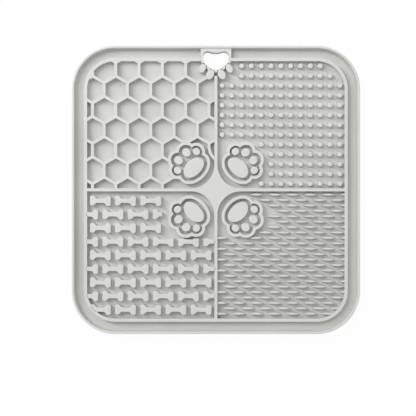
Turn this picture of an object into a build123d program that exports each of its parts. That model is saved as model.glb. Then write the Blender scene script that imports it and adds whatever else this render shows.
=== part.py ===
"""Square silicone lick mat: a rimmed sheet with four relief patterns, paw prints and suction cups.

The origin is the centre of the mat on the surface that it lies on, +Z is up out of the licking side
and +Y points to the edge with the paw-shaped hanging hole. All sizes are in millimetres.
"""

import math
import os

from build123d import *

# Sheet and rim
mat_size = 200.0
mat_corner = 30.0
sheet_thickness = 2.0
rim_wall = 1.6
rim_height = 6.0
rim_foot = 1.2

# Border, dividers and the star where they meet
gutter_width = 6.8
border_wall = 2.1
divider_wall = 2.1
relief_height = 5.0
star_arc = 16.4

# Suction cups under the sheet
cup_height = 3.0
cup_neck = 11.0
cup_lip = 28.0
cup_lip_width = 1.4
cup_hollow = 1.8
cup_crown = 6.0
cup_pitch = 64.0
cups_per_side = 3
cup_sides = 10

# Honeycomb walls in the upper left quarter
cell_pitch = 16.2
cell_wall = 1.85
cell_shift = 10.0

# Round studs in the upper right quarter
stud_pitch = 6.83
stud_foot = 4.0
stud_top = 3.4
stud_height = 4.6
stud_sides = 6

# Bones in the lower left quarter
bone_length = 14.8
bone_height = 7.2
bone_pitch_x = 17.5
bone_pitch_y = 9.46
bone_margin = 7.6
bone_tilt = -4.0
bone_lobe_shares = ((0.27, 0.47), (0.37, 1.0), (0.5, 0.66))
bone_notch_share = 0.46

# Almond ridges in the lower right quarter
ridge_length = 11.8
ridge_foot = 3.3
ridge_top = 1.4
ridge_height = 4.4
ridge_pitch_x = 12.45
ridge_pitch_y = 3.77
ridge_margin = 3.3
ridge_shift = 4.1
ridge_least_tip = 2.0
ridge_shoulder_share = 0.24

# Paw prints around the centre, each on its quarter's diagonal
pad_length = 16.6
pad_depth = 10.4
pad_sides = 12
inner_toe_length = 6.5
inner_toe_width = 5.8
outer_toe_length = 5.4
outer_toe_width = 5.0
toe_sides = 8
pad_toe_gap = 3.05
inner_toes_gap = 1.9
outer_toe_setback = 4.5
ring_gap = 2.35
ring_gap_outer_toe = 1.2
ring_wall = 2.2
ring_star_gap = 3.37
ring_stud_gap = 2.65
ring_bone_gap = 3.57

# Hanging hole in the shape of a paw's pad, with its collar and toes
hole_width = 17.7
hole_height = 12.9
hole_edge_gap = 3.7
hole_lobe = 3.0
hole_tip = 6.2
hole_cheek = 4.0
hole_cheek_inset = 0.25
hole_cheek_drop = 5.9
hole_dip = 1.0
hole_dip_radius = 13.0
collar_wall = 1.8
hanger_inner_toe_x = 4.05
hanger_inner_toe_y = 3.2
hanger_outer_toe_x = 9.4
hanger_outer_toe_y = 1.0
hanger_inner_toe_length = 7.2
hanger_inner_toe_width = 5.2
hanger_outer_toe_length = 6.3
hanger_outer_toe_width = 4.4
hanger_toe_tilt = 26.0
divider_hanger_gap = 2.4

# Levels and places that follow from the sizes above
sheet_bottom = cup_height
floor_level = sheet_bottom + sheet_thickness
floor = Plane.XY.offset(floor_level)
border_size = mat_size - 2 * (rim_wall + gutter_width)
border_corner = mat_corner - rim_wall - gutter_width
field_edge = border_size / 2 - border_wall
field_corner = border_corner - border_wall
divider_half = divider_wall / 2
quarter_size = field_edge - divider_half
quarter_centre = (field_edge + divider_half) / 2
star_reach = divider_half + star_arc
ring_growth = ring_gap + ring_wall
ring_outer_toe_growth = ring_gap_outer_toe + ring_wall
star_side = math.sqrt(2) * star_reach - star_arc
paw_reach = star_side + ring_star_gap + ring_growth + pad_depth / 2
inner_toe_reach = paw_reach + (pad_depth + inner_toe_length) / 2 + pad_toe_gap
inner_toe_spread = (inner_toes_gap + inner_toe_width) / 2
outer_toe_reach = inner_toe_reach - outer_toe_setback
outer_toe_spread = inner_toe_spread + (inner_toe_width + outer_toe_width) / 2
inner_toe_places = [(inner_toe_reach, -inner_toe_spread), (inner_toe_reach, inner_toe_spread)]
outer_toe_places = [(outer_toe_reach, -outer_toe_spread), (outer_toe_reach, outer_toe_spread)]
ring_heel_radius = math.hypot(pad_depth + 2 * ring_growth, pad_length + 2 * ring_growth) / 2
ring_near = (paw_reach - ring_heel_radius) / math.sqrt(2)
ring_inner_toe_far = (inner_toe_reach + inner_toe_spread) / math.sqrt(2) + inner_toe_length / 2 + ring_growth
ring_outer_toe_far = (
    (outer_toe_reach + outer_toe_spread) / math.sqrt(2) + outer_toe_length / 2 + ring_outer_toe_growth
)
ring_far = max(ring_inner_toe_far, ring_outer_toe_far)
paw_middle = (ring_near + ring_far) / 2
paw_clear = ring_far - paw_middle + ring_stud_gap
bone_clear = ring_far + ring_bone_gap
hole_top = mat_size / 2 - hole_edge_gap
hole_bottom = hole_top - hole_height
hole_lobe_x = hole_width / 2 - hole_lobe
hole_lobe_y = hole_top - hole_lobe
hole_cheek_x = hole_width / 2 - hole_cheek_inset - hole_cheek
hole_cheek_y = hole_top - hole_cheek_drop

quarter_sides = {"upper_left": (-1, 1), "upper_right": (1, 1), "lower_left": (-1, -1), "lower_right": (1, -1)}

os.makedirs("parts", exist_ok=True)


def write_piece(builder, name):
    """Labels a finished piece and writes it under its node's name."""
    builder.part.label = name
    export_step(builder.part, f"parts/{name}.step")


def oval_points(length, width, sides):
    """Corners of a few-sided oval whose length lies along X."""
    angles = [2 * math.pi * (step + 0.5) / sides for step in range(sides)]
    return [(length / 2 * math.cos(angle), width / 2 * math.sin(angle)) for angle in angles]


def quarter_outline(quarter):
    """Floor of one quarter: square at the dividers, rounded at the mat's corner and at the star."""
    side_x, side_y = quarter_sides[quarter]
    with BuildSketch() as outline:
        with Locations((side_x * quarter_centre, side_y * quarter_centre)):
            Rectangle(quarter_size, quarter_size)
        outermost = outline.vertices().sort_by(lambda corner: side_x * corner.X + side_y * corner.Y)[-1]
        fillet(outermost, radius=field_corner)
        innermost = outline.vertices().sort_by(lambda corner: side_x * corner.X + side_y * corner.Y)[0]
        fillet(innermost, radius=star_arc)
    return outline.sketch


def is_inside_corner(past_x, past_y, radius, margin):
    """True unless a round feature of this margin reaches past a rounded corner's arc."""
    if min(past_x, past_y) <= 0:
        return True
    return math.hypot(past_x, past_y) <= radius - margin


def is_in_quarter(x, y, margin):
    """True where a feature of this margin, at x and y counted outwards, fits inside its quarter."""
    if max(x, y) > field_edge - margin or min(x, y) < divider_half + margin:
        return False
    corner_place = field_edge - field_corner
    if not is_inside_corner(x - corner_place, y - corner_place, field_corner, margin):
        return False
    return is_inside_corner(star_reach - x, star_reach - y, star_arc, margin)


def is_off_paw(x, y):
    """True where a feature's centre, counted outwards, lies off the floor kept clear round a paw print."""
    return math.hypot(x - paw_middle, y - paw_middle) > paw_clear


def paw_outline(growth, outer_toe_growth):
    """Filled outline round a paw print on a diagonal along +X, at this margin outside its pads."""
    pad = oval_points(pad_depth + 2 * growth, pad_length + 2 * growth, pad_sides)
    inner_toe = oval_points(inner_toe_length + 2 * growth, inner_toe_width + 2 * growth, toe_sides)
    outer_toe = oval_points(
        outer_toe_length + 2 * outer_toe_growth, outer_toe_width + 2 * outer_toe_growth, toe_sides
    )
    with BuildSketch() as print_shape:
        with Locations((paw_reach, 0)):
            Polygon(*pad, align=None)
        with Locations(*inner_toe_places):
            Polygon(*inner_toe, align=None)
        with Locations(*outer_toe_places):
            Polygon(*outer_toe, align=None)
    with BuildSketch() as outline:
        make_face(print_shape.face().outer_wire().edges())
    return outline.sketch


def hole_outline(growth):
    """Hanging hole: two lobes and two cheeks above a round tip, with a shallow dip between the lobes."""
    with BuildSketch() as outline:
        with Locations((-hole_lobe_x, hole_lobe_y), (hole_lobe_x, hole_lobe_y)):
            Circle(hole_lobe + growth)
        with Locations((-hole_cheek_x, hole_cheek_y), (hole_cheek_x, hole_cheek_y)):
            Circle(hole_cheek + growth)
        with Locations((0, hole_bottom + hole_tip)):
            Circle(hole_tip + growth)
        make_hull()
        with Locations((0, hole_top - hole_dip + hole_dip_radius)):
            Circle(hole_dip_radius - growth, mode=Mode.SUBTRACT)
    return outline.sketch


def hanger_toe_places():
    """Place and size of each toe that fans out below the hanging hole."""
    places = []
    inner_y = hole_bottom - hanger_inner_toe_y
    outer_y = hole_bottom + hanger_outer_toe_y
    for side in (-1, 1):
        turn = 90 + side * hanger_toe_tilt
        inner = Location((side * hanger_inner_toe_x, inner_y), turn)
        outer = Location((side * hanger_outer_toe_x, outer_y), turn)
        places.append((inner, hanger_inner_toe_length, hanger_inner_toe_width))
        places.append((outer, hanger_outer_toe_length, hanger_outer_toe_width))
    return places


def hanger_toes_outline():
    """The four toes below the hanging hole, clear of its collar."""
    with BuildSketch() as outline:
        for place, length, width in hanger_toe_places():
            with Locations(place):
                Polygon(*oval_points(length, width, toe_sides), align=None)
        add(collar_outline, mode=Mode.SUBTRACT)
    return outline.sketch


# Collar outline: the hole's wall and the flat bridge that ties it to the rim
with BuildSketch() as collar_shape:
    add(hole_outline(collar_wall))
    with Locations((0, hole_lobe_y)):
        Rectangle(hole_width + 2 * collar_wall, mat_size / 2 - hole_lobe_y, align=(Align.CENTER, Align.MIN))
    add(hole_outline(0), mode=Mode.SUBTRACT)
collar_outline = collar_shape.sketch
toes_outline = hanger_toes_outline()
with BuildSketch() as hanger_shape:
    add(hole_outline(collar_wall))
    add(toes_outline)
hanger_outline = hanger_shape.sketch

# Base sheet
with BuildPart() as base_sheet:
    with BuildSketch(Plane.XY.offset(sheet_bottom)):
        RectangleRounded(mat_size, mat_size, mat_corner)
    extrude(amount=sheet_thickness)
    with BuildSketch(Plane.XY.offset(sheet_bottom)):
        add(hole_outline(0))
    extrude(amount=sheet_thickness, mode=Mode.SUBTRACT)
write_piece(base_sheet, "base_sheet")

# Outer rim, with a wall that widens to its foot in the gutter
rim_draft = math.degrees(math.atan2(rim_foot, rim_height))
with BuildPart() as outer_rim:
    with BuildSketch(floor):
        RectangleRounded(mat_size, mat_size, mat_corner)
    extrude(amount=rim_height)
    with BuildSketch(floor):
        RectangleRounded(
            mat_size - 2 * (rim_wall + rim_foot),
            mat_size - 2 * (rim_wall + rim_foot),
            mat_corner - rim_wall - rim_foot,
        )
    extrude(amount=rim_height, taper=-rim_draft, mode=Mode.SUBTRACT)
write_piece(outer_rim, "outer_rim")

# Inner border, open where the hanging hole's collar passes through it
with BuildPart() as inner_border:
    with BuildSketch(floor):
        RectangleRounded(border_size, border_size, border_corner)
        RectangleRounded(2 * field_edge, 2 * field_edge, field_corner, mode=Mode.SUBTRACT)
        add(hole_outline(collar_wall), mode=Mode.SUBTRACT)
    extrude(amount=relief_height)
write_piece(inner_border, "inner_border")

# Four-pointed star where the dividers meet
with BuildPart() as centre_star:
    with BuildSketch(floor):
        Rectangle(2 * star_reach, 2 * star_reach)
        for quarter in quarter_sides:
            add(quarter_outline(quarter), mode=Mode.SUBTRACT)
    extrude(amount=relief_height)
write_piece(centre_star, "centre_star")

# Dividers from the star's points to the border, the upper one short of the hanger's toes
upper_divider_end = hole_bottom - collar_wall - divider_hanger_gap
for name, turn, end in (
    ("divider_right", 0, field_edge),
    ("divider_top", 90, upper_divider_end),
    ("divider_left", 180, field_edge),
    ("divider_bottom", 270, field_edge),
):
    with BuildPart() as divider:
        with BuildSketch(floor.rotated((0, 0, turn))):
            with Locations((star_reach, 0)):
                Rectangle(end - star_reach, divider_wall, align=(Align.MIN, Align.CENTER))
        extrude(amount=relief_height)
    write_piece(divider, name)

# Paw prints: a scalloped ring, a main pad and four toes in each quarter
ring_outside = paw_outline(ring_growth, ring_outer_toe_growth)
ring_inside = paw_outline(ring_gap, ring_gap_outer_toe)
paw_turns = {"upper_right": 45, "upper_left": 135, "lower_left": 225, "lower_right": 315}
for quarter, turn in paw_turns.items():
    paw_plane = floor.rotated((0, 0, turn))
    with BuildPart() as paw_ring:
        with BuildSketch(paw_plane):
            add(ring_outside)
            add(ring_inside, mode=Mode.SUBTRACT)
        extrude(amount=relief_height)
    write_piece(paw_ring, f"paw_ring_{quarter}")

    with BuildPart() as paw_pad:
        with BuildSketch(paw_plane):
            with Locations((paw_reach, 0)):
                Polygon(*oval_points(pad_depth, pad_length, pad_sides), align=None)
        extrude(amount=relief_height)
    write_piece(paw_pad, f"paw_pad_{quarter}")

    with BuildPart() as paw_toes:
        with BuildSketch(paw_plane):
            with Locations(*inner_toe_places):
                Polygon(*oval_points(inner_toe_length, inner_toe_width, toe_sides), align=None)
            with Locations(*outer_toe_places):
                Polygon(*oval_points(outer_toe_length, outer_toe_width, toe_sides), align=None)
        extrude(amount=relief_height)
    write_piece(paw_toes, f"paw_toes_{quarter}")

# Honeycomb: one wall bar for each side of a cell, mitred where three bars meet, in three directions
cell_side = cell_pitch / math.sqrt(3)
row_pitch = 1.5 * cell_side
mitre = cell_wall / 2 / math.sqrt(3)
bar_points = [
    (-cell_side / 2, 0),
    (-cell_side / 2 + mitre, -cell_wall / 2),
    (cell_side / 2 - mitre, -cell_wall / 2),
    (cell_side / 2, 0),
    (cell_side / 2 - mitre, cell_wall / 2),
    (-cell_side / 2 + mitre, cell_wall / 2),
]
rows_each_way = math.ceil(quarter_size / 2 / row_pitch) + 1
cell_centres = [
    (
        -quarter_centre + (column + row % 2 / 2) * cell_pitch,
        quarter_centre + cell_shift + row * row_pitch,
    )
    for row in range(-rows_each_way, rows_each_way)
    for column in range(-rows_each_way, rows_each_way)
]
for name, turn, offset_x, offset_y in (
    ("honeycomb_upright_walls", 90, -cell_pitch / 2, 0),
    ("honeycomb_rising_walls", 30, -cell_pitch / 4, row_pitch / 2),
    ("honeycomb_falling_walls", -30, -cell_pitch / 4, -row_pitch / 2),
):
    bar_places = [Location((x + offset_x, y + offset_y), turn) for x, y in cell_centres]
    with BuildPart() as cell_walls:
        with BuildSketch(floor):
            with Locations(*bar_places):
                Polygon(*bar_points, align=None)
            add(quarter_outline("upper_left"), mode=Mode.INTERSECT)
            add(ring_outside, rotation=paw_turns["upper_left"], mode=Mode.SUBTRACT)
            with Locations((-star_reach, 0)):
                Rectangle(2 * star_arc, 2 * ring_near, mode=Mode.SUBTRACT)
            Rectangle(2 * star_reach, 2 * star_reach, mode=Mode.SUBTRACT)
            add(hanger_outline, mode=Mode.SUBTRACT)
        extrude(amount=relief_height)
    write_piece(cell_walls, name)

# Studs on a square grid that is centred in its quarter, off the hanger's toes and the paw print
studs_per_side = math.floor((quarter_size - stud_foot) / stud_pitch) + 1
stud_offsets = [(step - (studs_per_side - 1) / 2) * stud_pitch for step in range(studs_per_side)]
hanger_reach_x = hanger_outer_toe_x + stud_foot
hanger_reach_y = hole_bottom - hanger_inner_toe_y - hanger_inner_toe_length / 2 - stud_foot / 2
stud_places = [(quarter_centre + x, quarter_centre + y) for x in stud_offsets for y in stud_offsets]
stud_places = [
    (x, y)
    for x, y in stud_places
    if is_in_quarter(x, y, stud_foot / 2)
    and is_off_paw(x, y)
    and not (x < hanger_reach_x and y > hanger_reach_y)
    and not (x < paw_middle and y < ring_far)
]
stud_draft = math.degrees(math.atan2((stud_foot - stud_top) / 2, stud_height))
with BuildPart() as licking_studs:
    with BuildSketch(floor):
        with Locations(*stud_places):
            RegularPolygon(radius=stud_foot / 2, side_count=stud_sides)
    extrude(amount=stud_height, taper=stud_draft)
write_piece(licking_studs, "licking_studs")

# Bones in staggered rows, cut off at the border and at the divider
bone_rows = math.floor((quarter_size - bone_margin) / bone_pitch_y) + 1
bone_columns = math.ceil(quarter_size / bone_pitch_x) + 1
bone_corner = [(x * bone_length, y * bone_height / 2) for x, y in bone_lobe_shares]
bone_notch = (bone_notch_share * bone_length, 0)
bone_points = [*bone_corner, bone_notch, *[(x, -y) for x, y in reversed(bone_corner)]]
bone_points += [(-x, -y) for x, y in bone_points]
bone_places = [
    Location(
        (-quarter_centre + (column - row % 2 / 2) * bone_pitch_x, -bone_margin - row * bone_pitch_y),
        bone_tilt,
    )
    for row in range(bone_rows)
    for column in range(-bone_columns, bone_columns + 1)
]
with BuildPart() as bone_blocks:
    with BuildSketch(floor):
        with Locations(*bone_places):
            Polygon(*bone_points, align=None)
        add(quarter_outline("lower_left"), mode=Mode.INTERSECT)
        Rectangle(2 * bone_clear, 2 * ring_far, mode=Mode.SUBTRACT)
    extrude(amount=relief_height)
write_piece(bone_blocks, "bone_blocks")

# Almond ridges in staggered rows, cut off at the border and at the divider
ridge_rows = math.floor((quarter_size - ridge_margin) / ridge_pitch_y) + 1
ridge_columns = math.ceil(quarter_size / ridge_pitch_x) + 1
ridge_shoulder = ridge_shoulder_share * ridge_length
ridge_points = [
    (-ridge_length / 2, 0),
    (-ridge_shoulder, -ridge_foot / 2),
    (ridge_shoulder, -ridge_foot / 2),
    (ridge_length / 2, 0),
    (ridge_shoulder, ridge_foot / 2),
    (-ridge_shoulder, ridge_foot / 2),
]
ridge_places = [
    (
        quarter_centre - ridge_shift + (column + row % 2 / 2) * ridge_pitch_x,
        ridge_margin + row * ridge_pitch_y,
    )
    for row in range(ridge_rows)
    for column in range(-ridge_columns, ridge_columns + 1)
]
tip_reach = ridge_length / 2 - ridge_least_tip
ridge_places = [
    (x, y)
    for x, y in ridge_places
    if is_off_paw(x, y) and any(is_in_quarter(x + step, y, 0) for step in (-tip_reach, 0, tip_reach))
]
whole_ridges = [(x, -y) for x, y in ridge_places if is_in_quarter(x, y, ridge_length / 2)]
cut_ridges = [(x, -y) for x, y in ridge_places if not is_in_quarter(x, y, ridge_length / 2)]
ridge_draft = math.degrees(math.atan2((ridge_foot - ridge_top) / 2, ridge_height))
with BuildPart() as ripple_ridges:
    with BuildSketch(floor):
        with Locations(*cut_ridges):
            Polygon(*ridge_points, align=None)
    extrude(amount=ridge_height, taper=ridge_draft)
    with BuildSketch(floor):
        add(quarter_outline("lower_right"))
    extrude(amount=relief_height, mode=Mode.INTERSECT)
    with BuildSketch(floor):
        with Locations(*whole_ridges):
            Polygon(*ridge_points, align=None)
    extrude(amount=ridge_height, taper=ridge_draft)
write_piece(ripple_ridges, "ripple_ridges")

# Collar round the hanging hole, and the toes below it
with BuildPart() as hanger_collar:
    with BuildSketch(floor):
        add(collar_outline)
    extrude(amount=relief_height)
    add(outer_rim.part, mode=Mode.SUBTRACT)
write_piece(hanger_collar, "hanger_collar")

with BuildPart() as hanger_toes:
    with BuildSketch(floor):
        add(toes_outline)
    extrude(amount=relief_height)
write_piece(hanger_toes, "hanger_toes")

# Suction cups: a flared skirt with a flat lip and a shallow hollow
skirt_flare = math.degrees(math.atan2((cup_lip - cup_neck) / 2, cup_height))
hollow_width = cup_lip - 2 * cup_lip_width
hollow_flare = math.degrees(math.atan2((hollow_width - cup_crown) / 2, cup_hollow))
with BuildPart() as suction_cup:
    with BuildSketch():
        RegularPolygon(radius=cup_lip / 2, side_count=cup_sides, major_radius=False)
    extrude(amount=cup_height, taper=skirt_flare)
    with BuildSketch():
        RegularPolygon(radius=hollow_width / 2, side_count=cup_sides, major_radius=False)
    extrude(amount=cup_hollow, taper=hollow_flare, mode=Mode.SUBTRACT)

with BuildPart() as suction_cups:
    with GridLocations(cup_pitch, cup_pitch, cups_per_side, cups_per_side):
        add(suction_cup.part)
write_piece(suction_cups, "suction_cups")
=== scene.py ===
import math

import bpy
from mathutils import Matrix


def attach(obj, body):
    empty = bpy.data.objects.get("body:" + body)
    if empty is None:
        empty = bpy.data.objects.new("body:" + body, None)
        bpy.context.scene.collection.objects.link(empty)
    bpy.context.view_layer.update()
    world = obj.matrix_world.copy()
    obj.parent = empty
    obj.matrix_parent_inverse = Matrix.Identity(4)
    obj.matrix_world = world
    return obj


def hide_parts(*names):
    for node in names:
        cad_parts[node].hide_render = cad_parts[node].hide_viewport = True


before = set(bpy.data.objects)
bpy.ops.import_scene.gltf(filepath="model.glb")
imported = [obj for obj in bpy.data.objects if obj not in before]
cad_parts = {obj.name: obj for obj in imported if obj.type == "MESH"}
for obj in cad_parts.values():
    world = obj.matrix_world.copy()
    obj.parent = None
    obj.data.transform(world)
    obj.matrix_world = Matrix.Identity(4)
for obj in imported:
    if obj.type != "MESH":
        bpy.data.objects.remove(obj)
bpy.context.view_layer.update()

# Base sheet: the flat sheet of the mat, pressed from light grey silicone in one shot with all that stands
# on it. Its upper face is the floor of the four quarters and of the gutter inside the rim. The hanging hole
# goes through it.
mm = 0.001
mat_size = 200 * mm
mat_corner = 30 * mm
corner_steps = 24
sheet_bottom = 3 * mm
floor_level = 5 * mm
sheet_edge_round = 0.7 * mm
sheet_edge_steps = 4
hole_lobe = 3 * mm
hole_lobe_place = (5.85 * mm, 93.3 * mm)
hole_cheek = 4 * mm
hole_cheek_place = (4.6 * mm, 90.4 * mm)
hole_tip = 6.2 * mm
hole_tip_y = 89.6 * mm
hole_dip = 13 * mm
hole_dip_y = 108.3 * mm
hole_dip_sides = 160
round_sides = 48
both_sides = (-1, 1)
overrun = 2 * mm
close_by = 0.1 * mm
merge_gap = 0.01 * mm
flat_bend = math.radians(0.5)
crease_angle = math.radians(46)


def deselect_all():
    """Leaves nothing selected, so that the next operator acts on its own piece alone."""
    if bpy.context.mode != "OBJECT":
        bpy.ops.object.mode_set(mode="OBJECT")
    bpy.ops.object.select_all(action="DESELECT")


def placed(name):
    """Names the primitive just added and puts its place, turn and scale into its mesh."""
    piece = bpy.context.object
    piece.name = name
    bpy.ops.object.transform_apply(location=True, rotation=True, scale=True)
    return piece


def make_active(piece):
    """Selects one piece alone, ready for an operator."""
    deselect_all()
    piece.select_set(True)
    bpy.context.view_layer.objects.active = piece


def pick(piece, kind, test=lambda member: True):
    """Opens a piece for editing with those corners, edges or faces selected that pass the test, or all."""
    make_active(piece)
    bpy.ops.object.mode_set(mode="EDIT")
    bpy.ops.mesh.select_mode(type=kind)
    bpy.ops.mesh.select_all(action="DESELECT")
    bpy.ops.object.mode_set(mode="OBJECT")
    members = {"VERT": piece.data.vertices, "EDGE": piece.data.edges, "FACE": piece.data.polygons}[kind]
    for member in members:
        member.select = test(member)
    bpy.ops.object.mode_set(mode="EDIT")


def ends(piece, edge):
    """Places of an edge's two ends."""
    return [piece.data.vertices[end].co for end in edge.vertices]


def tidy_walls(piece):
    """Merges doubled corners and flat neighbours, and turns every face outwards."""
    pick(piece, "FACE")
    bpy.ops.mesh.remove_doubles(threshold=merge_gap)
    bpy.ops.mesh.dissolve_limited(angle_limit=flat_bend)
    bpy.ops.mesh.select_all(action="SELECT")
    bpy.ops.mesh.delete_loose()
    bpy.ops.mesh.select_all(action="SELECT")
    bpy.ops.mesh.normals_make_consistent(inside=False)
    bpy.ops.object.mode_set(mode="OBJECT")


def raise_up(piece, height):
    """Pulls a flat outline up into a block."""
    pick(piece, "FACE")
    bpy.ops.mesh.extrude_region_move(TRANSFORM_OT_translate={"value": (0, 0, height)})
    bpy.ops.mesh.select_all(action="SELECT")
    bpy.ops.mesh.normals_make_consistent(inside=False)
    bpy.ops.object.mode_set(mode="OBJECT")


def cut(piece, tool, operation="DIFFERENCE"):
    """Cuts a tool out of a piece, keeps what both share or joins both, and throws the tool away."""
    make_active(piece)
    change = piece.modifiers.new("cut", "BOOLEAN")
    change.operation = operation
    change.solver = "EXACT"
    change.object = tool
    bpy.ops.object.modifier_apply(modifier=change.name)
    bpy.data.objects.remove(tool, do_unlink=True)


def join(pieces):
    """Joins pieces into the first of them."""
    make_active(pieces[0])
    for piece in pieces:
        piece.select_set(True)
    bpy.ops.object.join()
    return pieces[0]


def rounded_square(name, size, corner, level):
    """Flat square with round corners, centred on the mat."""
    deselect_all()
    bpy.ops.mesh.primitive_plane_add(size=size, location=(0, 0, level))
    piece = placed(name)
    pick(piece, "VERT")
    bpy.ops.mesh.bevel(offset=corner, segments=corner_steps, affect="VERTICES")
    bpy.ops.object.mode_set(mode="OBJECT")
    return piece


def round_block(name, place, length, width, turn, low, high, sides=round_sides):
    """Upright round or oval block between two levels."""
    deselect_all()
    bpy.ops.mesh.primitive_cylinder_add(
        vertices=sides,
        radius=1,
        depth=high - low,
        location=(place[0], place[1], (low + high) / 2),
        rotation=(0, 0, turn),
        scale=(length / 2, width / 2, 1),
    )
    return placed(name)


def hole_block(growth, low, high):
    """The hanging hole as a block: lobes, cheeks and a tip under one skin, with a dip in its upper side."""
    rounds = [((0, hole_tip_y), hole_tip)]
    for side in both_sides:
        rounds.append(((side * hole_lobe_place[0], hole_lobe_place[1]), hole_lobe))
        rounds.append(((side * hole_cheek_place[0], hole_cheek_place[1]), hole_cheek))
    block = join([
        round_block("hole", place, 2 * (radius + growth), 2 * (radius + growth), 0, low, high)
        for place, radius in rounds
    ])
    pick(block, "VERT")
    bpy.ops.mesh.convex_hull()
    bpy.ops.object.mode_set(mode="OBJECT")
    tidy_walls(block)
    width = 2 * (hole_dip - growth)
    dip_levels = (low - overrun, high + overrun)
    cut(block, round_block("dip", (0, hole_dip_y), width, width, 0, *dip_levels, hole_dip_sides))
    return block


def linear(code):
    """Linear red, green, blue and alpha of an sRGB hex colour, by the curve of the sRGB standard."""
    shares = [int(code[start:start + 2], 16) / 255 for start in (0, 2, 4)]
    return [s / 12.92 if s <= 0.04045 else ((s + 0.055) / 1.055) ** 2.4 for s in shares] + [1]


def add_node(material, kind, inputs=None, links=None, **options):
    """Adds a node to a material with its options, its socket values and its links."""
    node = material.node_tree.nodes.new(kind)
    for option, value in options.items():
        setattr(node, option, value)
    for socket, value in (inputs or {}).items():
        node.inputs[socket].default_value = value
    for socket, output in (links or {}).items():
        material.node_tree.links.new(output, node.inputs[socket])
    return node


def mould_finish(piece, material, *nodes):
    """Smooths a finished piece, gives it its material and lets it stand for nodes of the mat's one body."""
    make_active(piece)
    bpy.ops.object.shade_smooth_by_angle(angle=crease_angle)
    even = piece.modifiers.new("even_shading", "WEIGHTED_NORMAL")
    even.keep_sharp = True
    bpy.ops.object.modifier_apply(modifier=even.name)
    piece.data.materials.clear()
    piece.data.materials.append(material)
    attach(piece, "root")
    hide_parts(*nodes)


# Matte silicone rubber, pressed in a spark-eroded steel mould: an even, warm light grey with a fine sandy
# grain and a broad, dull sheen. The tops of the walls come from the mould's smoothed bottoms and are less
# dull than the gritty floors. The floors and the feet of the walls are also painted a darker grey than the
# tops: painted shade in the low places. The grain is drawn coarser than the real grit, so that it shows.
grain_size = 0.7 * mm
grain_depth = 0.08 * mm
grain_strength = 0.12
cloud_size = 35 * mm
noise_span = (0.3, 0.7)
# Painted shade: the floors and the feet of the walls get a darker grey than the tops of the walls.
shaded_floor_colours = ("cdcdc9", "d3d3cf")
lit_top_colours = ("d2d2cf", "d7d7d5")
floor_dullness = (0.58, 0.72)
top_dullness_change = -0.12
lit_and_smooth_top_levels = (floor_level + 2.4 * mm, floor_level + 4.2 * mm)
silicone_ior = 1.41
glow_share = 0.3
glow_tint = (1.0, 0.95, 0.85)
glow_reach = 1.5 * mm

matte_silicone = bpy.data.materials.new("matte_moulded_silicone")
matte_silicone.use_nodes = True
where = add_node(matte_silicone, "ShaderNodeTexCoord").outputs["Object"]
grain = add_node(
    matte_silicone,
    "ShaderNodeTexNoise",
    {"Scale": 1 / grain_size, "Detail": 3, "Roughness": 0.6},
    {"Vector": where},
).outputs["Fac"]
cloud = add_node(
    matte_silicone,
    "ShaderNodeTexNoise",
    {"Scale": 1 / cloud_size, "Detail": 2, "Roughness": 0.5},
    {"Vector": where},
).outputs["Fac"]
painted_shade_tones = []
for colours in (shaded_floor_colours, lit_top_colours):
    ramp = add_node(matte_silicone, "ShaderNodeValToRGB", links={"Fac": cloud})
    for stop, position, colour in zip(ramp.color_ramp.elements, noise_span, colours):
        stop.position = position
        stop.color = linear(colour)
    painted_shade_tones.append(ramp.outputs["Color"])
dullness = add_node(
    matte_silicone,
    "ShaderNodeMapRange",
    {
        "From Min": noise_span[0],
        "From Max": noise_span[1],
        "To Min": floor_dullness[0],
        "To Max": floor_dullness[1],
    },
    {"Value": grain},
    name="dullness",
)
place_on_mat = add_node(matte_silicone, "ShaderNodeSeparateXYZ", links={"Vector": where})
# Mask by height over the sheet, 0 at the floors and 1 at the tops: it sets the painted shade of the colour
# and the smoother finish of the tops.
lit_and_smoother_tops = add_node(
    matte_silicone,
    "ShaderNodeMapRange",
    {"From Min": lit_and_smooth_top_levels[0], "From Max": lit_and_smooth_top_levels[1]},
    {"Value": place_on_mat.outputs["Z"]},
).outputs["Result"]
# Painted shade: the colour goes from the lighter tops down to the darker floors and wall feet.
shade_painted_tone = add_node(matte_silicone, "ShaderNodeMixRGB", links={0: lit_and_smoother_tops, 1: painted_shade_tones[0], 2: painted_shade_tones[1]})
finish = add_node(
    matte_silicone,
    "ShaderNodeMath",
    {1: top_dullness_change},
    {0: lit_and_smoother_tops, 2: dullness.outputs["Result"]},
    operation="MULTIPLY_ADD",
)
grit = add_node(
    matte_silicone,
    "ShaderNodeBump",
    {"Strength": grain_strength, "Distance": grain_depth},
    {"Height": grain},
    name="grit",
)
shader = matte_silicone.node_tree.nodes["Principled BSDF"]
shader.inputs["IOR"].default_value = silicone_ior
shader.inputs["Subsurface Weight"].default_value = glow_share
shader.inputs["Subsurface Radius"].default_value = glow_tint
shader.inputs["Subsurface Scale"].default_value = glow_reach
matte_silicone.node_tree.links.new(shade_painted_tone.outputs["Color"], shader.inputs["Base Color"])
matte_silicone.node_tree.links.new(finish.outputs[0], shader.inputs["Roughness"])
matte_silicone.node_tree.links.new(grit.outputs["Normal"], shader.inputs["Normal"])

sheet = rounded_square("base_sheet_skin", mat_size, mat_corner, sheet_bottom)
raise_up(sheet, floor_level - sheet_bottom)
pick(sheet, "EDGE", lambda edge: all(end.z < sheet_bottom + close_by for end in ends(sheet, edge)))
bpy.ops.mesh.bevel(offset=sheet_edge_round, segments=sheet_edge_steps, affect="EDGES")
bpy.ops.object.mode_set(mode="OBJECT")
cut(sheet, hole_block(0, sheet_bottom - overrun, floor_level + overrun))
mould_finish(sheet, matte_silicone, "base_sheet")

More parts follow.
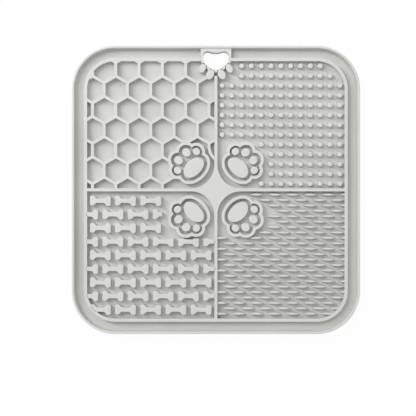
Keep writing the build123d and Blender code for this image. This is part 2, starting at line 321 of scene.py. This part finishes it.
# Outer rim: the wall round the sheet that keeps food on the mat. It is moulded on the sheet in the same
# silicone, its inner side runs out into the gutter in a hollow curve, and its lip is rounded over.
rim_wall = 1.6 * mm
rim_height = 6 * mm
rim_hollow = ((0.2 * mm, 4.8 * mm), (0.25 * mm, 0.7 * mm), (0.35 * mm, 0.35 * mm), (0.4 * mm, 0.15 * mm))
rim_lip_round = 0.4 * mm
rim_top = floor_level + rim_height
facing_up = 0.9
facing_sideways = 0.5
fine_steps = 3


def round_top(piece, width, steps):
    """Rounds the edges where a piece's flat top meets its walls."""
    beside = {}
    for face in piece.data.polygons:
        for key in face.edge_keys:
            beside.setdefault(key, []).append(face.normal.z)
    pick(
        piece,
        "EDGE",
        lambda edge: max(beside[edge.key]) > facing_up and min(beside[edge.key]) < facing_sideways,
    )
    bpy.ops.mesh.bevel(offset=width, segments=steps, affect="EDGES", clamp_overlap=True)
    bpy.ops.object.mode_set(mode="OBJECT")


rim = rounded_square("outer_rim_wall", mat_size, mat_corner, floor_level)
raise_up(rim, rim_height)
pick(rim, "FACE", lambda face: face.center.z > rim_top - close_by and face.normal.z > facing_up)
bpy.ops.mesh.inset(thickness=rim_wall)
for inwards, down in rim_hollow:
    bpy.ops.mesh.inset(thickness=inwards)
    bpy.ops.transform.translate(value=(0, 0, -down))
bpy.ops.mesh.delete(type="FACE")
bpy.ops.object.mode_set(mode="OBJECT")
pick(rim, "FACE", lambda face: face.normal.z < -facing_up)
bpy.ops.mesh.delete(type="ONLY_FACE")
bpy.ops.object.mode_set(mode="OBJECT")
pick(rim, "EDGE", lambda edge: all(end.z < floor_level + close_by for end in ends(rim, edge)))
bpy.ops.mesh.bridge_edge_loops()
bpy.ops.mesh.select_all(action="SELECT")
bpy.ops.mesh.normals_make_consistent(inside=False)
bpy.ops.object.mode_set(mode="OBJECT")
round_top(rim, rim_lip_round, fine_steps)
mould_finish(rim, matte_silicone, "outer_rim")

# Border, dividers and star: one silicone wall that frames the four quarters, crosses the mat and widens to
# a star in the middle. It is moulded on the sheet, stops short of the toes at the hanging hole, and its
# upper edges are rounded.
border_size = 183.2 * mm
border_corner = 21.6 * mm
field_edge = 89.5 * mm
field_corner = 19.5 * mm
divider_half = 1.05 * mm
divider_end = 79.2 * mm
star_arc = 16.4 * mm
star_reach = divider_half + star_arc
relief_height = 5 * mm
relief_top = floor_level + relief_height
wall_levels = (floor_level, relief_top)
cut_levels = (floor_level - overrun, relief_top + overrun)
wall_round = 0.35 * mm
collar_wall = 1.8 * mm
quarter_sides = {
    "upper_left": (-1, 1),
    "upper_right": (1, 1),
    "lower_left": (-1, -1),
    "lower_right": (1, -1),
}


def box_block(name, low_corner, high_corner, levels=cut_levels):
    """Square block between two corners in plan and two levels."""
    deselect_all()
    low = (*low_corner, levels[0])
    high = (*high_corner, levels[1])
    middle = [(a + b) / 2 for a, b in zip(low, high)]
    bpy.ops.mesh.primitive_cube_add(size=1, location=middle, scale=[b - a for a, b in zip(low, high)])
    return placed(name)


def quarter_block(quarter, growth):
    """The space of one quarter as a tool, rounded at the mat's corner and at the star."""
    side_x, side_y = quarter_sides[quarter]
    near = divider_half - growth
    far = field_edge + growth
    middle = (near + far) / 2
    low, high = cut_levels
    deselect_all()
    bpy.ops.mesh.primitive_plane_add(size=far - near, location=(side_x * middle, side_y * middle, low))
    block = placed("quarter")
    pick(block, "VERT", lambda point: side_x * point.co.x > middle and side_y * point.co.y > middle)
    bpy.ops.mesh.bevel(offset=field_corner + growth, segments=corner_steps, affect="VERTICES")
    bpy.ops.object.mode_set(mode="OBJECT")
    pick(block, "VERT", lambda point: side_x * point.co.x < middle and side_y * point.co.y < middle)
    bpy.ops.mesh.bevel(offset=star_arc + growth, segments=corner_steps, affect="VERTICES")
    bpy.ops.object.mode_set(mode="OBJECT")
    raise_up(block, high - low)
    return block


walls = rounded_square("border_dividers_and_star", border_size, border_corner, floor_level)
raise_up(walls, relief_top - floor_level)
for quarter in quarter_sides:
    cut(walls, quarter_block(quarter, 0))
cut(walls, hole_block(collar_wall, *cut_levels))
cut(walls, box_block("divider_gap", (-overrun, divider_end), (overrun, hole_tip_y)))
tidy_walls(walls)
round_top(walls, wall_round, fine_steps)
mould_finish(
    walls,
    matte_silicone,
    "inner_border",
    "centre_star",
    "divider_right",
    "divider_top",
    "divider_left",
    "divider_bottom",
)

# Paw prints: in each quarter a scalloped ring, a main pad and four toes of the same silicone, moulded on
# the sheet at the height of the walls. One print is shaped with its toes along +X and copied round the
# star, one on each diagonal.
paw_reach = 21.4 * mm
pad_length = 17.0 * mm
pad_heel = 4.85 * mm
pad_front = 5.9 * mm
pad_sides = 72
inner_toe = {"reach": 32.9 * mm, "spread": 3.85 * mm, "length": 6.3 * mm, "width": 5.6 * mm}
outer_toe = {"reach": 28.4 * mm, "spread": 9.25 * mm, "length": 5.3 * mm, "width": 4.9 * mm}
ring_gap = 2.25 * mm
ring_gap_outer_toe = 1.45 * mm
ring_wall = 2.1 * mm
ring_skin = ring_gap + ring_wall
ring_skin_outer_toe = ring_gap_outer_toe + ring_wall
pad_round = 0.35 * mm
paw_turns = {"upper_right": 45, "upper_left": 135, "lower_left": 225, "lower_right": 315}


def pad_block(growth, low, high):
    """The main pad as an upright block, blunter at its heel than towards the toes."""
    length, width = 2 * (pad_heel + growth), pad_length + 2 * growth
    block = round_block("pad", (paw_reach, 0), length, width, 0, low, high, pad_sides)
    pick(block, "VERT", lambda point: point.co.x > paw_reach + merge_gap)
    stretch = (pad_front + growth) / (pad_heel + growth)
    bpy.ops.transform.resize(value=(stretch, 1, 1), center_override=(paw_reach, 0, low))
    bpy.ops.object.mode_set(mode="OBJECT")
    return block


def toe_block(toe, side, growth, low, high):
    """One toe of the paw print as an upright oval block, grown by a margin."""
    place = (toe["reach"], side * toe["spread"])
    return round_block("toe", place, toe["length"] + 2 * growth, toe["width"] + 2 * growth, 0, low, high)


def paw_block(growth, outer_growth, low, high):
    """The whole paw print under one outline at this margin outside its pads."""
    block = pad_block(growth, low, high)
    web_reach = (paw_reach + inner_toe["reach"]) / 2
    cut(block, round_block("web", (web_reach, 0), 2 * pad_heel, pad_length, 0, low, high), "UNION")
    for side in both_sides:
        cut(block, toe_block(inner_toe, side, growth, low, high), "UNION")
        cut(block, toe_block(outer_toe, side, outer_growth, low, high), "UNION")
    tidy_walls(block)
    return block


def copied(piece, place):
    """Copy of a piece with a mesh of its own, moved and turned by a matrix."""
    copy = piece.copy()
    copy.data = piece.data.copy()
    copy.data.transform(place)
    bpy.context.collection.objects.link(copy)
    return copy


ring = paw_block(ring_skin, ring_skin_outer_toe, *wall_levels)
cut(ring, paw_block(ring_gap, ring_gap_outer_toe, *cut_levels))
tidy_walls(ring)
pad = pad_block(0, *wall_levels)
toes = join([
    toe_block(toe, side, 0, *wall_levels) for toe in (inner_toe, outer_toe) for side in both_sides
])
for shape in (ring, pad, toes):
    round_top(shape, pad_round, fine_steps)
for quarter, turn in paw_turns.items():
    turned = Matrix.Rotation(math.radians(turn), 4, "Z")
    for shape, node in ((ring, "paw_ring"), (pad, "paw_pad"), (toes, "paw_toes")):
        piece = copied(shape, turned)
        piece.name = f"{node}_{quarter}_moulded"
        mould_finish(piece, matte_silicone, f"{node}_{quarter}")
for shape in (ring, pad, toes):
    bpy.data.objects.remove(shape, do_unlink=True)

# Honeycomb: thin silicone walls of six-sided cells in the upper left quarter, moulded on the sheet and run
# into the border, the dividers, the paw print's ring and the toes at the hanging hole. The wall next to the
# divider bends round the ring.
cell_pitch = 16.2 * mm
cell_sides = 6
cell_side = cell_pitch / math.sqrt(3)
cell_row_sides = 1.5
cell_wall = 1.95 * mm
cell_shift = 10.45 * mm
cell_round = 0.25 * mm
cell_rows = range(-4, 4)
cell_columns = range(-4, 5)
run_in = 0.7 * mm
level_step = 0.04 * mm
cell_top = relief_top - level_step
small_steps = 2
quarter_centre = (field_edge + divider_half) / 2
clear_strip = (divider_half + 2 * star_arc, 3.7 * mm)
clear_star = (star_reach, star_reach)
clear_below_ring = (28.3 * mm, 12 * mm)
stub_end = 74 * mm
bend_radius = 12 * mm
bend_column = 2.5
bend_start = (-quarter_centre + bend_column * cell_pitch, 30.5 * mm)
bend_sides = 96
hanger_toes = (
    {"place": (4.0 * mm, 80.2 * mm), "length": 7.2 * mm, "width": 5.2 * mm},
    {"place": (9.3 * mm, 84.4 * mm), "length": 6.5 * mm, "width": 4.4 * mm},
)
hanger_toe_turn = math.radians(90)
hanger_toe_tilt = math.radians(26)


def hanger_toe_block(toe, side, growth, low, high):
    """One of the toes below the hanging hole as an upright oval block, grown by a margin."""
    return round_block(
        "hanger_toe",
        (side * toe["place"][0], toe["place"][1]),
        toe["length"] + 2 * growth,
        toe["width"] + 2 * growth,
        hanger_toe_turn + side * hanger_toe_tilt,
        low,
        high,
    )


cells = []
for row in cell_rows:
    for column in cell_columns:
        deselect_all()
        bpy.ops.mesh.primitive_circle_add(
            vertices=cell_sides,
            radius=cell_side,
            fill_type="NGON",
            location=(
                -quarter_centre + (column + row % 2 / 2) * cell_pitch,
                quarter_centre + cell_shift + row * cell_row_sides * cell_side,
                floor_level,
            ),
        )
        cells.append(placed("cell"))
honeycomb = join(cells)
honeycomb.name = "honeycomb_walls"
pick(honeycomb, "FACE")
bpy.ops.mesh.remove_doubles(threshold=close_by)
bpy.ops.mesh.inset(thickness=cell_wall / 2, use_individual=True)
bpy.ops.mesh.delete(type="FACE")
bpy.ops.object.mode_set(mode="OBJECT")
raise_up(honeycomb, cell_top - floor_level)
tidy_walls(honeycomb)
cut(honeycomb, quarter_block("upper_left", run_in), "INTERSECT")
paw = paw_block(ring_skin - run_in, ring_skin_outer_toe - run_in, *cut_levels)
paw.data.transform(Matrix.Rotation(math.radians(paw_turns["upper_left"]), 4, "Z"))
cut(honeycomb, paw)
for reach_x, reach_y in (clear_strip, clear_star, clear_below_ring):
    cut(honeycomb, box_block("clear_floor", (-reach_x, -overrun), (overrun, reach_y)))
cut(honeycomb, hole_block(collar_wall - run_in, *cut_levels))
cut(honeycomb, box_block("stub", (-hanger_toes[0]["place"][0], stub_end), (overrun, hole_tip_y)))
for toe in hanger_toes:
    cut(honeycomb, hanger_toe_block(toe, -1, -run_in, *cut_levels))
bend_middle = (bend_start[0] + bend_radius, bend_start[1])
outside, inside = 2 * bend_radius + cell_wall, 2 * bend_radius - cell_wall
bend = round_block("bend", bend_middle, outside, outside, 0, floor_level, cell_top, bend_sides)
cut(bend, round_block("hollow", bend_middle, inside, inside, 0, *cut_levels, bend_sides))
bend_corner = (bend_start[0] - cell_wall, bend_start[1] - bend_radius)
cut(honeycomb, box_block("bend_room", bend_corner, (overrun, bend_start[1])))
cut(bend, box_block("bend_part", bend_corner, (run_in - divider_half, bend_start[1])), "INTERSECT")
cut(honeycomb, bend, "UNION")
tidy_walls(honeycomb)
round_top(honeycomb, cell_round, small_steps)
mould_finish(
    honeycomb,
    matte_silicone,
    "honeycomb_upright_walls",
    "honeycomb_rising_walls",
    "honeycomb_falling_walls",
)

# Licking studs: round blunt pins of the same silicone on a square grid in the upper right quarter, moulded
# on the sheet with a small flare at their foot and a rounded head.
stud_pitch = 6.83 * mm
stud_grid = range(-6, 7)
stud_foot = 4 * mm
stud_top = 3.4 * mm
stud_height = 4.6 * mm
stud_round = 0.45 * mm
stud_flare = 0.4 * mm
stud_sides = 12
paw_middle = 18.75 * mm
paw_clear = 17.4 * mm
ring_far = 33.78 * mm
hanger_corner = (13.4 * mm, 74.6 * mm)


def is_inside_corner(past_x, past_y, radius, margin):
    """True unless a round feature of this margin reaches past a rounded corner's arc."""
    if min(past_x, past_y) <= 0:
        return True
    return math.hypot(past_x, past_y) <= radius - margin


def is_in_quarter(x, y, margin):
    """True where a feature of this margin, at x and y counted outwards, fits inside its quarter."""
    if max(x, y) > field_edge - margin or min(x, y) < divider_half + margin:
        return False
    corner_place = field_edge - field_corner
    if not is_inside_corner(x - corner_place, y - corner_place, field_corner, margin):
        return False
    return is_inside_corner(star_reach - x, star_reach - y, star_arc, margin)


def is_off_paw(x, y):
    """True where a feature's centre, counted outwards, lies off the floor kept clear round a paw print."""
    return math.hypot(x - paw_middle, y - paw_middle) > paw_clear


def is_stud_foot(point):
    """True for a point of the stud's own foot, inside its flare."""
    return point.z < floor_level + merge_gap and point.xy.length < stud_foot / 2 + close_by


deselect_all()
bpy.ops.mesh.primitive_cone_add(
    vertices=stud_sides,
    radius1=stud_foot / 2,
    radius2=stud_top / 2,
    depth=stud_height,
    location=(0, 0, floor_level + stud_height / 2),
)
stud = placed("stud")
round_top(stud, stud_round, small_steps)
pick(stud, "FACE", lambda face: face.normal.z < -facing_up)
bpy.ops.mesh.extrude_region_move(TRANSFORM_OT_translate={"value": (0, 0, 0)})
flare_share = 1 + 2 * stud_flare / stud_foot
bpy.ops.transform.resize(value=(flare_share, flare_share, 1))
bpy.ops.object.mode_set(mode="OBJECT")
pick(stud, "EDGE", lambda edge: all(is_stud_foot(end) for end in ends(stud, edge)))
bpy.ops.transform.translate(value=(0, 0, stud_flare))
bpy.ops.object.mode_set(mode="OBJECT")
stud_steps = [quarter_centre + step * stud_pitch for step in stud_grid]
stud_places = [
    (x, y)
    for x in stud_steps
    for y in stud_steps
    if is_in_quarter(x, y, stud_foot / 2)
    and is_off_paw(x, y)
    and not (x < hanger_corner[0] and y > hanger_corner[1])
    and not (x < paw_middle and y < ring_far)
]
studs = join([copied(stud, Matrix.Translation((x, y, 0))) for x, y in stud_places])
studs.name = "licking_studs_moulded"
bpy.data.objects.remove(stud, do_unlink=True)
mould_finish(studs, matte_silicone, "licking_studs")

# Bones: flat-topped silicone bones in staggered rows in the lower left quarter, moulded on the sheet. Those
# at the border and at the divider run into the wall.
bone_length = 14.8 * mm
bone_waist = 3.1 * mm
bone_grid = (10, 2)
bone_columns = ((0.1, 1.08, 0.98), (0.2, 1.06, 0.98), (0.3, 0.86, 1.88), (0.4, 0.9, 2.48), (0.5, 1.05, 1.9))
bone_notch = 6.85 * mm
bone_smooth_levels = 2
bone_pitch = (17.5 * mm, 9.46 * mm)
bone_rows = range(9)
bones_in_row = range(-4, 4)
bone_margin = 7.6 * mm
bone_tilt = math.radians(-2.2)
bone_round = 0.35 * mm
bone_clear = 37.35 * mm

deselect_all()
bpy.ops.mesh.primitive_grid_add(
    x_subdivisions=bone_grid[0], y_subdivisions=bone_grid[1], size=1, location=(0, 0, floor_level)
)
bpy.ops.transform.resize(value=(bone_length, bone_waist, 1))
bone = placed("bone")
for share, longer, wider in bone_columns:
    pick(bone, "VERT", lambda point: abs(abs(point.co.x) - share * bone_length) < close_by)
    bpy.ops.transform.resize(value=(longer, wider, 1), center_override=(0, 0, floor_level))
    bpy.ops.object.mode_set(mode="OBJECT")
pick(bone, "VERT", lambda point: abs(point.co.x) > bone_notch and abs(point.co.y) < close_by)
notch_share = bone_notch / (bone_columns[-1][0] * bone_columns[-1][1] * bone_length)
bpy.ops.transform.resize(value=(notch_share, 1, 1), center_override=(0, 0, floor_level))
bpy.ops.object.mode_set(mode="OBJECT")
make_active(bone)
smooth = bone.modifiers.new("smooth_outline", "SUBSURF")
smooth.levels = bone_smooth_levels
smooth.render_levels = bone_smooth_levels
bpy.ops.object.modifier_apply(modifier=smooth.name)
tidy_walls(bone)
raise_up(bone, relief_top - floor_level)
round_top(bone, bone_round, small_steps)
bone_places = []
for row in bone_rows:
    for column in bones_in_row:
        x = -quarter_centre + (column - row % 2 / 2) * bone_pitch[0]
        y = -bone_margin - row * bone_pitch[1]
        if -field_edge - bone_pitch[0] / 2 < x < bone_pitch[0] / 2:
            bone_places.append(Matrix.Translation((x, y, 0)) @ Matrix.Rotation(bone_tilt, 4, "Z"))
bones = join([copied(bone, place) for place in bone_places])
bones.name = "bone_blocks_moulded"
bpy.data.objects.remove(bone, do_unlink=True)
cut(bones, quarter_block("lower_left", run_in), "INTERSECT")
cut(bones, box_block("paw_floor", (-bone_clear, -ring_far), (0, 0)))
mould_finish(bones, matte_silicone, "bone_blocks")

# Almond ridges: pointed silicone ridges in staggered rows in the lower right quarter, moulded on the sheet,
# with sloping sides and a narrow crest. Those at the border and at the divider run into the wall.
ridge_length = 9.8 * mm
ridge_belly = 5.2 * mm
ridge_corners = 4
ridge_belly_percent = 80
ridge_belly_steps = 4
ridge_crest_shares = (0.94, 0.45)
ridge_height = 4.4 * mm
ridge_round = 0.25 * mm
ridge_pitch = (12.45 * mm, 3.77 * mm)
ridge_rows = range(23)
ridges_in_row = range(-5, 6)
ridge_margin = 3.3 * mm
ridge_shift = 4.6 * mm
ridge_least_tip = 1.8 * mm

deselect_all()
bpy.ops.mesh.primitive_cylinder_add(
    vertices=ridge_corners,
    radius=1,
    depth=ridge_height,
    location=(0, 0, floor_level + ridge_height / 2),
    scale=(ridge_length / 2, ridge_belly / 2, 1),
)
ridge = placed("ridge")


def is_belly_edge(edge):
    """True for the two upright edges at the middle of the ridge."""
    first, last = ends(ridge, edge)
    return max(abs(first.x), abs(last.x)) < close_by and abs(first.z - last.z) > ridge_height / 2


pick(ridge, "EDGE", is_belly_edge)
bpy.ops.mesh.bevel(
    offset_type="PERCENT", offset_pct=ridge_belly_percent, segments=ridge_belly_steps, affect="EDGES"
)
bpy.ops.object.mode_set(mode="OBJECT")
pick(ridge, "FACE", lambda face: face.normal.z > facing_up)
bpy.ops.transform.resize(value=(*ridge_crest_shares, 1))
bpy.ops.object.mode_set(mode="OBJECT")
round_top(ridge, ridge_round, small_steps)
pick(ridge, "FACE")
bpy.ops.mesh.quads_convert_to_tris()
bpy.ops.object.mode_set(mode="OBJECT")
tip_reach = ridge_length / 2 - ridge_least_tip
ridge_places = []
for row in ridge_rows:
    for column in ridges_in_row:
        x = quarter_centre - ridge_shift + (column + row % 2 / 2) * ridge_pitch[0]
        y = ridge_margin + row * ridge_pitch[1]
        if is_off_paw(x, y) and any(is_in_quarter(x + step, y, 0) for step in (-tip_reach, 0, tip_reach)):
            ridge_places.append((x, -y))
ridges = join([copied(ridge, Matrix.Translation((x, y, 0))) for x, y in ridge_places])
ridges.name = "almond_ridges_moulded"
bpy.data.objects.remove(ridge, do_unlink=True)
cut(ridges, quarter_block("lower_right", run_in), "INTERSECT")
mould_finish(ridges, matte_silicone, "ripple_ridges")

# Hanging hole: a collar in the shape of a paw's pad, tied to the rim by a flat bridge, with four toes
# fanned below it. Collar, bridge and toes are moulded on the sheet in the same silicone. The toes stand
# a little above the collar that they overlap.
bridge_half = 10.65 * mm
bridge_run_in = 0.1 * mm
bridge_end = mat_size / 2 - rim_wall + bridge_run_in
hanger_toe_step = 0.35 * mm
toe_groove = 0.5 * mm
toe_groove_depth = 2.5 * mm
groove_levels = (relief_top - toe_groove_depth, relief_top + overrun)

collar = hole_block(collar_wall, *wall_levels)
bridge = box_block("bridge", (-bridge_half, hole_lobe_place[1]), (bridge_half, bridge_end), wall_levels)
cut(collar, bridge, "UNION")
cut(collar, hole_block(0, *cut_levels))
for toe in hanger_toes:
    for side in both_sides:
        cut(collar, hanger_toe_block(toe, side, toe_groove, *groove_levels))
tidy_walls(collar)
round_top(collar, wall_round, small_steps)
collar.name = "hanging_hole_collar"
mould_finish(collar, matte_silicone, "hanger_collar")

fan = join([
    hanger_toe_block(toe, side, 0, floor_level, relief_top + hanger_toe_step)
    for toe in hanger_toes
    for side in both_sides
])
round_top(fan, pad_round, fine_steps)
fan.name = "hanging_hole_toes"
mould_finish(fan, matte_silicone, "hanger_toes")

# Suction cups: round flexible silicone cups below the sheet that hold the mat on a smooth floor or wall.
# They are moulded on the sheet by their neck, with a thin lip and a polished hollow.
cup_height = 3 * mm
cup_neck = 11 * mm
cup_lip = 28 * mm
cup_lip_width = 1.4 * mm
cup_hollow = 1.8 * mm
cup_hollow_steps = ((0.35, 0.85), (0.3, 0.75), (0.2, 0.6), (0.15, 0.4))
cup_pitch = 64 * mm
cup_grid = (-1, 0, 1)
polished_dullness = (0.22, 0.34)
polished_grit = 0.03

# Polished silicone: the same rubber from a polished part of the mould, so that its grey has a clear soft
# shine and next to no grain.
polished_silicone = matte_silicone.copy()
polished_silicone.name = "polished_suction_silicone"
polished_nodes = polished_silicone.node_tree.nodes
polished_nodes["dullness"].inputs["To Min"].default_value = polished_dullness[0]
polished_nodes["dullness"].inputs["To Max"].default_value = polished_dullness[1]
polished_nodes["grit"].inputs["Strength"].default_value = polished_grit

deselect_all()
bpy.ops.mesh.primitive_cone_add(
    vertices=round_sides,
    radius1=cup_lip / 2,
    radius2=cup_neck / 2,
    depth=cup_height,
    location=(0, 0, cup_height / 2),
)
cup = placed("cup")
pick(cup, "FACE", lambda face: face.normal.z < -facing_up)
bpy.ops.mesh.inset(thickness=cup_lip_width)
hollow = cup_lip / 2 - cup_lip_width
for rise, width_share in cup_hollow_steps:
    bpy.ops.mesh.inset(thickness=hollow * (1 - width_share))
    bpy.ops.transform.translate(value=(0, 0, rise * cup_hollow))
    hollow = hollow * width_share
bpy.ops.object.mode_set(mode="OBJECT")
cups = join([
    copied(cup, Matrix.Translation((column * cup_pitch, row * cup_pitch, 0)))
    for column in cup_grid
    for row in cup_grid
])
cups.name = "suction_cups_moulded"
bpy.data.objects.remove(cup, do_unlink=True)
mould_finish(cups, polished_silicone, "suction_cups")

# Floor, light and camera: a white sweep under the mat, a tall strip lamp up to the left, a small lamp over
# the upper side and an even sky, seen square from above.
floor_size = 6
floor_drop = 0.1 * mm
paper_colour = "f4f4f4"
paper_dullness = 0.9
paper_white_share = 0.96
plain_white = (1, 1, 1, 1)
sky_strength = 0.57
lamps = (
    {"name": "strip_lamp", "place": (-0.715, 0.43, 0.87), "width": 0.06, "height": 0.9, "power": 7.6},
    {"name": "near_lamp", "place": (0, 0.22, 0.38), "width": 0.3, "height": 0.3, "power": 0.33},
)
photo_centre = (-5.5 * mm, -12.6 * mm)
photo_height = 649 * mm
photo_width = 288.45 * mm
sensor_width = 36

deselect_all()
bpy.ops.mesh.primitive_plane_add(size=floor_size, location=(0, 0, -floor_drop))
ground = placed("white_floor")

# White paper: a dull, even white that shows as plain white to the camera and still takes the mat's shadow.
white_paper = bpy.data.materials.new("white_paper_floor")
white_paper.use_nodes = True
paper = white_paper.node_tree.nodes["Principled BSDF"]
paper.inputs["Base Color"].default_value = linear(paper_colour)
paper.inputs["Roughness"].default_value = paper_dullness
rays = add_node(white_paper, "ShaderNodeLightPath")
seen = add_node(
    white_paper,
    "ShaderNodeMath",
    links={0: rays.outputs["Is Camera Ray"], 1: rays.outputs["Is Glossy Ray"]},
    operation="MAXIMUM",
)
seen_through = add_node(
    white_paper,
    "ShaderNodeMath",
    links={0: seen.outputs[0], 1: rays.outputs["Is Transmission Ray"]},
    operation="MAXIMUM",
)
white_share = add_node(
    white_paper,
    "ShaderNodeMath",
    {1: paper_white_share},
    {0: seen_through.outputs[0]},
    operation="MULTIPLY",
)
glow = add_node(white_paper, "ShaderNodeEmission", {"Color": plain_white, "Strength": 1.0})
mixed = add_node(
    white_paper,
    "ShaderNodeMixShader",
    links={0: white_share.outputs[0], 1: paper.outputs["BSDF"], 2: glow.outputs["Emission"]},
)
surface = white_paper.node_tree.nodes["Material Output"].inputs["Surface"]
white_paper.node_tree.links.new(mixed.outputs["Shader"], surface)
ground.data.materials.append(white_paper)

scene = bpy.context.scene
scene.view_settings.view_transform = "Standard"
sky = bpy.data.worlds.new("even_sky")
scene.world = sky
sky.use_nodes = True
background = sky.node_tree.nodes["Background"]
background.inputs["Color"].default_value = plain_white
background.inputs["Strength"].default_value = sky_strength

for lamp_sizes in lamps:
    bpy.ops.object.light_add(type="AREA", location=lamp_sizes["place"])
    lamp = bpy.context.object
    lamp.name = lamp_sizes["name"]
    lamp.data.shape = "RECTANGLE"
    lamp.data.size = lamp_sizes["width"]
    lamp.data.size_y = lamp_sizes["height"]
    lamp.data.energy = lamp_sizes["power"]
    lamp.visible_camera = False
    lamp.rotation_euler = (-lamp.location).to_track_quat("-Z", "Y").to_euler()

bpy.ops.object.camera_add(location=(*photo_centre, rim_top + photo_height), rotation=(0, 0, 0))
camera = bpy.context.object
camera.name = "photo_camera"
camera.data.sensor_width = sensor_width
camera.data.lens = camera.data.sensor_width * photo_height / photo_width
camera.data.dof.use_dof = False
scene.camera = camera
